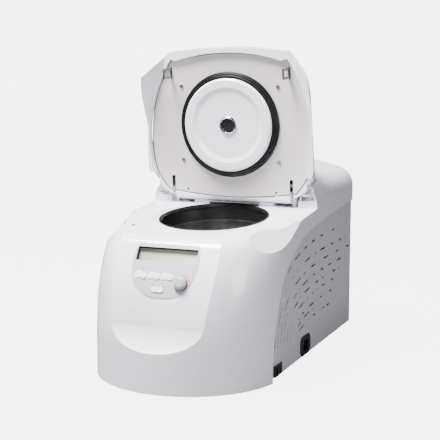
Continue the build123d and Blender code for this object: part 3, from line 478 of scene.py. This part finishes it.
# %% Metal finishes
finishes.update({
    "rotor_metal": turned(
        "anodised_rotor", (0.42, 0.42, 0.43), (0.36, 0.36, 0.37), rough=(0.26, 0.38),
        pitch=1600.0, depth=0.00003, edge=0.0008),
    "knob_metal": turned(
        "polished_lid_knob", (0.70, 0.70, 0.71), (0.62, 0.62, 0.63), rough=(0.14, 0.24),
        pitch=2000.0, depth=0.00002, edge=0.0006),
    "sight_chrome": turned(
        "chrome_sight_ring", (0.42, 0.42, 0.44), (0.34, 0.34, 0.36), rough=(0.10, 0.18),
        pitch=3000.0, depth=0.00001, edge=0.0008, centre=LID_CENTRE, tilt=LID_TURN),
    "bright_steel": moulded(
        "bright_steel", (0.62, 0.60, 0.58), (0.52, 0.50, 0.48), rough=(0.24, 0.36),
        grain=1400.0, depth=0.00002, edge=0.0004, Metallic=1.0),
    "pin_brass": moulded(
        "nickel_brass_pin", (0.66, 0.62, 0.50), (0.58, 0.53, 0.42), rough=(0.20, 0.30),
        grain=1600.0, depth=0.00001, edge=0.0002, Metallic=1.0),
    "coil_copper": moulded(
        "drawn_copper", (0.78, 0.36, 0.22), (0.58, 0.25, 0.15), rough=(0.26, 0.44),
        grain=900.0, depth=0.00004, Metallic=1.0),
    "condenser_metal": moulded(
        "aluminium_fins", (0.60, 0.61, 0.62), (0.50, 0.51, 0.52), rough=(0.34, 0.48),
        grain=1200.0, depth=0.00005, Metallic=1.0),
})
print("finishes", len(finishes))

# %% [markdown]
# The upper wall of the chamber is painted near black. This is painted shade for the shade that
# fills the deep chamber, and below it the wall is bare polished steel. Both are one deep-drawn bowl
# here, so a mask by the depth under the sloping mouth moves from the painted shade to the steel.
# The speed knob gets the same treatment further on: a grey cap on a wall painted black as shade.

# %% Chamber bowl finish
MOUTH_HEIGHT = 0.2391
MOUTH_SLOPE = radians(6.32)
# how far under the mouth the painted shade reaches
PAINTED_SHADE_DEPTH = 0.028


def two_zone(name, upper, lower, rough, own_place, level, softness, metal_below=False):
    """Upper tones above the level along the piece's own axis, lower tones below it."""
    material, tree, shader = start_material(name)
    height = tree.nodes.new("ShaderNodeSeparateXYZ")
    tree.links.new(own_axes(tree, *own_place), height.inputs[0])
    mask = add_range(tree, height.outputs["Z"], level - softness, level + softness, 0.0, 1.0)
    tones = [use_group(tree, tone_group, Light=light, Deep=deep, Patches=20.0).outputs["Colour"]
             for light, deep in (lower, upper)]
    tree.links.new(add_mix(tree, mask, *tones), shader.inputs["Base Color"])
    skin = use_group(tree, skin_group, Grain=900.0, Waves=70.0)
    gloss = add_range(tree, mask, 0.0, 1.0, *rough)
    wander = add_range(tree, skin.outputs["Gloss"], 0.0, 1.0, -0.03, 0.03)
    tree.links.new(add_math(tree, "ADD", gloss, wander), shader.inputs["Roughness"])
    if metal_below:
        tree.links.new(add_range(tree, mask, 0.0, 1.0, 1.0, 0.0), shader.inputs["Metallic"])
    add_bump(tree, shader, skin.outputs["Height"], 0.00001)
    return material


# painted shade: the bowl's upper band is near black for the shade inside the chamber; the steel
# below is its own finish
finishes["bowl_steel"] = two_zone(
    "steel_bowl_with_painted_shade",
    upper=((0.006, 0.006, 0.007), (0.004, 0.004, 0.005)),
    lower=((0.26, 0.24, 0.245), (0.20, 0.185, 0.19)), rough=(0.22, 0.34),
    own_place=((0.0, BOWL_Y, MOUTH_HEIGHT), MOUTH_SLOPE),
    level=-PAINTED_SHADE_DEPTH, softness=0.0008, metal_below=True)
print("collar down to", PAINTED_SHADE_DEPTH, "m under the mouth")

# %% [markdown]
# ## The display and the sight glass
# The liquid-crystal display is a grey-green film behind a clear window. It is painted lighter
# and more yellow to the right, as painted light for the lamps' fall across it, and its dot matrix
# shows as a faint grid. The sight glass is a dark lens with a hard reflection.

# %% Display finish
SCREEN_LOW, SCREEN_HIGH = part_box("display_screen")
DOT_PITCH = 0.00065

screen, tree, shader = start_material("display_film", Coat_Weight=0.4, Coat_Roughness=0.08)
parts = tree.nodes.new("ShaderNodeSeparateXYZ")
tree.links.new(tree.nodes.new("ShaderNodeTexCoord").outputs["Object"], parts.inputs[0])
# painted light: the film goes from darker on the left to lighter and more yellow on the right
across = add_range(tree, parts.outputs["X"], SCREEN_LOW.x, SCREEN_HIGH.x, 0.0, 1.0)
film = add_mix(tree, across, (0.30, 0.315, 0.275), (0.66, 0.68, 0.54))
waves = []
for axis in ("X", "Z"):
    phase = add_math(tree, "MULTIPLY", parts.outputs[axis], 2 * pi / DOT_PITCH)
    waves.append(add_math(tree, "SINE", phase, 0.0))
dots = add_range(tree, add_math(tree, "MAXIMUM", *waves), -1.0, 1.0, 0.0, 0.10)
tree.links.new(add_mix(tree, dots, film, (0.10, 0.11, 0.09)), shader.inputs["Base Color"])
skin = use_group(tree, skin_group, Grain=900.0, Waves=50.0)
set_gloss(tree, shader, skin.outputs["Gloss"], (0.22, 0.32))
finishes["screen"] = screen
print("screen", round((SCREEN_HIGH.x - SCREEN_LOW.x) / DOT_PITCH), "dots wide")

# %% Sight glass finish
glass, tree, shader = start_material("dark_sight_glass", IOR=1.5, Coat_Weight=0.6,
                                     Coat_Roughness=0.03)
tone = use_group(tree, tone_group, Light=(0.012, 0.012, 0.014), Deep=(0.006, 0.006, 0.007),
                 Patches=60.0)
tree.links.new(tone.outputs["Colour"], shader.inputs["Base Color"])
skin = use_group(tree, skin_group, Grain=500.0, Waves=80.0)
set_gloss(tree, shader, skin.outputs["Gloss"], (0.04, 0.09))
finishes["sight_glass"] = glass
missing = sorted(set(slot_of.values()) - set(finishes))
print("slots with no finish:", missing)

# %% Give every part its finish
def dress(piece, material):
    if not piece.material_slots:
        piece.data.materials.append(material)
    for holder in piece.material_slots:
        holder.material = material


for node, piece in frame["nodes"].items():
    dress(piece, finishes[slot_of[node]])
print("dressed", len(frame["nodes"]))

# %% The strikers stand in the lid's shade, so their steel is darker
dress(frame["nodes"]["lid_strikers"], moulded(
    "shaded_striker_steel", (0.26, 0.25, 0.245), (0.20, 0.19, 0.185), rough=(0.30, 0.42),
    grain=1400.0, depth=0.00002, edge=0.0004, Metallic=1.0))
print("strikers", frame["nodes"]["lid_strikers"].material_slots[0].material.name)

# %% [markdown]
# ## Printed marks on the control overlay
# The start key has a red outline round it, a red arc beside the knob shows the way up, and each
# mode key lies on a white patch with a large and a small lobe. All are print on the film. A flat
# form is laid over its place and then shrunk onto the curved film, a few hundredths of a
# millimetre proud so that it never flickers into it.

# %% The curved control face
FACE_AXIS = Vector((0.0, 0.0134, 0.0584))
FACE_RADIUS = 0.2706
FACE_MIDDLE_HEIGHT = 0.178
START_SPOT = (-0.0046, -0.0257)
KNOB_SPOT = (0.0322, -0.0144)
PRINT_LIFT = 0.00003
PRINT_THICKNESS = 0.00006


def face_turn(up):
    """Angle above level, about the face's axis, of a spot this far up from the face's middle."""
    middle = FACE_MIDDLE_HEIGHT - FACE_AXIS.z
    return atan2(middle, sqrt(FACE_RADIUS**2 - middle**2)) + up / FACE_RADIUS


def face_place(spot, lift):
    """The point at (across, up) on the control face, lifted off it along its normal."""
    turn = face_turn(spot[1])
    reach = FACE_RADIUS + lift
    return (spot[0], FACE_AXIS.y - reach * cos(turn), FACE_AXIS.z + reach * sin(turn))


def lay_on_face(piece, spot):
    """Turns a flat piece drawn on XY to the control face at (across, up) and settles it."""
    piece.location = face_place(spot, 0.001)
    piece.rotation_euler = (pi / 2 - face_turn(spot[1]), 0.0, 0.0)
    settle(piece)


def print_on_film(piece, ink):
    apply_modifier(piece, "SUBSURF", subdivision_type="SIMPLE", levels=1, render_levels=1)
    apply_modifier(piece, "SHRINKWRAP", target=frame["nodes"]["control_overlay"],
                   wrap_method="NEAREST_SURFACEPOINT", offset=PRINT_LIFT)
    apply_modifier(piece, "SOLIDIFY", thickness=PRINT_THICKNESS, offset=1.0)
    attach(piece, "housing")
    piece.data.materials.append(ink)
    print(piece.name, "faces", len(piece.data.polygons))


def flat_ring(name, inner, outer, count):
    ring = add_piece(bpy.ops.mesh.primitive_circle_add, name, vertices=count, radius=inner)
    edit(ring, lambda place: True)
    bpy.ops.mesh.extrude_edges_move()
    bpy.ops.transform.resize(value=(outer / inner, outer / inner, 1.0))
    bpy.ops.mesh.select_all(action="SELECT")
    bpy.ops.mesh.normals_make_consistent(inside=False)
    close_edit()
    return ring


print("face turn at its middle", round(face_turn(0.0), 4), "rad")

# %% Speed knob: grey cap, wall painted black as painted shade
# painted shade: the knob's wall below this height is near black for its dark side; the cap above
# keeps its own grey
KNOB_WALL_HEIGHT = 0.0045
knob_foot = face_place(KNOB_SPOT, 0.0)
dress(frame["nodes"]["speed_knob"], two_zone(
    "knob_with_painted_shade_wall",
    upper=((0.40, 0.395, 0.41), (0.36, 0.355, 0.37)),
    lower=((0.010, 0.010, 0.011), (0.007, 0.007, 0.008)), rough=(0.34, 0.24),
    own_place=(knob_foot, pi / 2 - face_turn(KNOB_SPOT[1])),
    level=KNOB_WALL_HEIGHT, softness=0.0002))
print("knob foot", [round(value, 4) for value in knob_foot])

# %% White lobes printed round the mode keys
KEY_SPOTS = (-0.0364, -0.0141, 0.0079)
KEY_UP = -0.0063
key_ink = moulded("white_key_ink", (0.90, 0.89, 0.93), (0.87, 0.86, 0.90), rough=(0.30, 0.40),
                  grain=2400.0, depth=0.00001)


def add_lobe(name, vertices, radius, across, up=0.0):
    return settle(add_piece(bpy.ops.mesh.primitive_circle_add, name, vertices=vertices,
                            radius=radius, fill_type="TRIFAN", location=(across, 0.0, up)))


for number, across in enumerate(KEY_SPOTS, 1):
    large = add_lobe(f"key_{number}_lobes", 36, 0.0073, -0.0036)
    add_lobe("small_lobe", 32, 0.0056, 0.0056, 0.00002)
    large.select_set(True)
    bpy.context.view_layer.objects.active = large
    bpy.ops.object.join()
    lay_on_face(large, (across, KEY_UP))
    print_on_film(large, key_ink)

# %% Outline of the start key
START_HALF_RUN = 0.006
red_ink = moulded("red_print_ink", (0.80, 0.22, 0.26), (0.72, 0.17, 0.21), rough=(0.34, 0.44),
                  grain=2400.0, depth=0.00001)
start_outline = flat_ring("start_key_outline", 0.0050, 0.0061, 50)
for side in (-1, 1):
    edit(start_outline, lambda place: place.x * side > 0)
    bpy.ops.transform.translate(value=(side * START_HALF_RUN, 0.0, 0.0))
    close_edit()
lay_on_face(start_outline, START_SPOT)
print_on_film(start_outline, red_ink)

# %% Arc beside the knob
ARC_START, ARC_END = -0.35, 1.75
knob_arc = flat_ring("knob_arc", 0.0126, 0.0146, 72)
edit(knob_arc, lambda place: not ARC_START < atan2(place.y, place.x) < ARC_END)
bpy.ops.mesh.delete(type="VERT")
close_edit()
lay_on_face(knob_arc, KNOB_SPOT)
print_on_film(knob_arc, red_ink)

# %% [markdown]
# ## The vents
# The panels' vent marks are wider and longer on the real object than the frame's slots. A merged
# copy of each side panel is cut again, at the same places and turned along the same rows. Each
# row is a quarter of a superellipse about one centre, and a mark is placed by its depth along the
# flat part or by its height on the steep part. Two neighbours always keep a bridge between them.

# %% The rows, in millimetres
VENT_CENTRE = (155.0, 45.0)
SLOT_WIDTH = 3.0
BRIDGE = 2.8
LENGTHS = {"d": 4.4, "s": 10.0, "m": 17.0, "l": 27.0}  # dot, short, middle and long
VENT_ROWS = (
    # top of the row, its front end, and its marks: which coordinate, its value, which length
    (199, -145, "y210d y155m y86m y39m y-1m y-43l y-80m z156d z138l z118d z102l z80d z64m"),
    (175, -133, "y227d y198m y148m y116d y91l y52s y9l y-41d y-64d z130l z112d z96l z76d z62m"),
    (157, -120, "y246m y178m y149d y111l y74d y41l y-6s y-39l z116l z98d z80l z62m"),
    (140, -105, "y232d y191l y135m y90m y46s y-3l y-30d y-52m z96d z82l z62m"),
    (124, -90, "y190d y162m y94s y60m y9l y-24d y-48m z80d z64l"),
    (110, -75, "y151m y99m y62d y38s y10d y-21l z74d z60m"),
    (92, -60, "y168d y140m y111d y84s y33l y-11s y-34d"),
    (82, -50, "y115d y90d y58d y41d y8l y-30m"),
    (69, -38, "y128m y102s y80d y49m y20d y-17l"),
)
print("vent rows", len(VENT_ROWS))


# %% Where the marks are
def row_marks(top, front, words):
    """Each mark of a row as (y, z, turn, length) in millimetres."""
    span_y, span_z = VENT_CENTRE[0] - front, top - VENT_CENTRE[1]
    marks = []
    for word in words.split():
        value = float(word[1:-1])
        if word[0] == "y":
            y, part = value, abs(value - VENT_CENTRE[0]) / span_y
            z = VENT_CENTRE[1] + span_z * (1 - part**3) ** (1 / 3)
        else:
            z, part = value, (value - VENT_CENTRE[1]) / span_z
            y = VENT_CENTRE[0] - span_y * (1 - part**3) ** (1 / 3)
        across, up = abs(VENT_CENTRE[0] - y) / span_y, (z - VENT_CENTRE[1]) / span_z
        rise = span_z / span_y * across**2 / up**2
        marks.append([y, z, atan2(rise if y < VENT_CENTRE[0] else -rise, 1.0), LENGTHS[word[-1]]])
    wanted = [mark[3] for mark in marks]
    for first, second, long_1, long_2 in zip(marks, marks[1:], wanted, wanted[1:]):
        reach = sqrt((first[0] - second[0])**2 + (first[1] - second[1])**2)
        share = (reach - BRIDGE) / (0.5 * (long_1 + long_2))
        first[3] = min(first[3], long_1 * share)
        second[3] = min(second[3], long_2 * share)
    return marks


vent_marks = [mark for row in VENT_ROWS for mark in row_marks(*row)]
print("vent marks", len(vent_marks))

# %% One cutter for every mark, long enough for both panels
CUTTER_SPAN = 0.32
bars = []
for y, z, turn, length in vent_marks:
    bar = add_piece(bpy.ops.mesh.primitive_cube_add, "vent_bar", size=1.0,
                    location=(0.0, y * MM, z * MM), rotation=(turn, 0.0, 0.0))
    bar.scale = (CUTTER_SPAN, length * MM, SLOT_WIDTH * MM)
    bars.append(bar)
cutter = only(bars[0])
for bar in bars:
    bar.select_set(True)
bpy.ops.object.join()
settle(cutter)
print("cutter faces", len(cutter.data.polygons))


# %% Panels cut with the wide slots
def merged_copy(node, name):
    """A copy of a CAD part with its loose triangles merged into one skin."""
    source = frame["nodes"][node]
    piece = source.copy()
    piece.data = source.data.copy()
    piece.name = piece.data.name = name
    bpy.context.scene.collection.objects.link(piece)
    edit(piece, lambda place: True)
    bpy.ops.mesh.remove_doubles(threshold=0.000001)
    bpy.ops.mesh.normals_make_consistent(inside=False)
    close_edit()
    return piece


for side in ("left", "right"):
    node = side + "_side_panel"
    panel = merged_copy(node, side + "_vented_panel")
    apply_modifier(panel, "BOOLEAN", operation="DIFFERENCE", solver="EXACT", object=cutter)
    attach(panel, "housing")
    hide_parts(node)
    print(panel.name, len(panel.data.polygons))
bpy.data.objects.remove(cutter, do_unlink=True)

# %% [markdown]
# Behind the slots hangs a thin black sheet. It is painted shade that makes the vents look as dark
# as the shaded inside. It is a disc with its lower half pressed flat and its rear half shortened,
# stretched over the rows of marks.

# %% Painted shade sheets behind the vents
SHADE_SHEET_X = 0.1462
SHADE_SHEET_FOOT = (0.150, 0.050)
SHADE_SHEET_REACH = (0.286, 0.150)
REAR_SHARE = 0.32
SHADE_SHEET_THICKNESS = 0.0004
ORIGIN = (0.0, 0.0, 0.0)


def vent_shade_sheet(name, x):
    sheet = add_piece(bpy.ops.mesh.primitive_circle_add, name, vertices=72, radius=1.0,
                      fill_type="NGON")
    edit(sheet, lambda place: place.x > 0.001)
    bpy.ops.transform.resize(value=(REAR_SHARE, 1.0, 1.0), center_override=ORIGIN)
    close_edit()
    edit(sheet, lambda place: place.y < -0.001)
    bpy.ops.transform.resize(value=(1.0, 0.0, 1.0), center_override=ORIGIN)
    close_edit()
    sheet.scale = (*SHADE_SHEET_REACH, 1.0)
    sheet.rotation_euler = (pi / 2, 0.0, pi / 2)
    sheet.location = (x, *SHADE_SHEET_FOOT)
    settle(sheet)
    apply_modifier(sheet, "SOLIDIFY", thickness=SHADE_SHEET_THICKNESS, offset=0.0)
    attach(sheet, "housing")
    # painted shade: the sheet takes the black rubber finish so the slots read dark
    sheet.data.materials.append(finishes["black_rubber"])
    print(sheet.name, [round(value, 3) for value in sheet.dimensions])


vent_shade_sheet("left_vent_shade_sheet", -SHADE_SHEET_X)
vent_shade_sheet("right_vent_shade_sheet", SHADE_SHEET_X)

# %% [markdown]
# ## The seal round the lid's disc
# The seal is a black rubber ring in three steps. It is lower than the disc, so the white side of
# the disc shows inside it. Its profile is a face of a few points, spun about the lid's own axis.

# %% Stepped lid seal
SEAL_STEPS = 120
SEAL_PROFILE = (
    # radius, height above the plate
    (0.0789, 0.0002), (0.0897, 0.0002), (0.0897, 0.0026), (0.0884, 0.0040), (0.0868, 0.0040),
    (0.0858, 0.0062), (0.0836, 0.0062), (0.0826, 0.0084), (0.0789, 0.0084),
)


def spun(name, profile, steps):
    """A closed profile of (radius, height) points, spun about Z into a ring."""
    ring = add_piece(bpy.ops.mesh.primitive_plane_add, name, size=0.001)
    edit(ring, lambda place: True)
    bpy.ops.mesh.delete(type="VERT")
    mesh = bmesh.from_edit_mesh(ring.data)
    corners = [mesh.verts.new((radius, 0.0, height)) for radius, height in profile]
    mesh.faces.new(corners)
    bmesh.update_edit_mesh(ring.data)
    bpy.ops.mesh.select_all(action="SELECT")
    bpy.ops.mesh.spin(steps=steps, angle=2 * pi, center=(0.0, 0.0, 0.0), axis=(0.0, 0.0, 1.0))
    bpy.ops.mesh.select_all(action="SELECT")
    bpy.ops.mesh.remove_doubles(threshold=0.000002)
    bpy.ops.mesh.delete_loose()
    mesh = bmesh.from_edit_mesh(ring.data)
    first_faces = [face for face in mesh.faces if len(face.verts) > 4]
    bmesh.ops.delete(mesh, geom=first_faces, context="FACES_ONLY")
    bmesh.update_edit_mesh(ring.data)
    bpy.ops.mesh.select_all(action="SELECT")
    bpy.ops.mesh.normals_make_consistent(inside=False)
    close_edit()
    return ring


seal = spun("stepped_lid_seal", SEAL_PROFILE, SEAL_STEPS)
seal.rotation_euler = (LID_TURN, 0.0, 0.0)
seal.location = LID_CENTRE
settle(seal)
smooth(seal, 40.0)
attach(seal, "lid")
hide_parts("lid_gasket")
seal.data.materials.append(finishes["black_seal"])
print("seal faces", len(seal.data.polygons))

# %% [markdown]
# A thin dark line of painted shade stands for the shadowed gap round the edge of the lid's plate.
# It is a copy of the plate, a fraction of a millimetre proud, with all but its outer millimetre
# cut away by a smaller and thicker hull of the same plate.

# %% Painted shade line round the lid's plate
LID_AXIS = Vector((0.0, -sin(LID_TURN), cos(LID_TURN)))
PLATE_MIDDLE = Vector((0.0, 0.0343, 0.385))
SHADE_LINE_PROUD = 0.0003
CORE_SCALE = (0.993, 0.992, 5.0, 1.0)  # across, up and through the plate

core = merged_copy("lid_plate", "gap_shade_core")
edit(core, lambda place: True)
bpy.ops.mesh.convex_hull()
close_edit()
lid_frame = Matrix.Translation(PLATE_MIDDLE) @ Matrix.Rotation(LID_TURN, 4, "X")
core.data.transform(lid_frame @ Matrix.Diagonal(CORE_SCALE) @ lid_frame.inverted())
gap_shade_line = merged_copy("lid_plate", "plate_gap_shade_line")
gap_shade_line.data.transform(Matrix.Translation(LID_AXIS * SHADE_LINE_PROUD))
apply_modifier(gap_shade_line, "BOOLEAN", operation="DIFFERENCE", solver="EXACT", object=core)
bpy.data.objects.remove(core, do_unlink=True)
# painted shade: the line takes the dark moulding finish for the shadow in the gap
gap_shade_line.data.materials.clear()
gap_shade_line.data.materials.append(finishes["dark_plastic"])
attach(gap_shade_line, "lid")
print("cord faces", len(gap_shade_line.data.polygons))
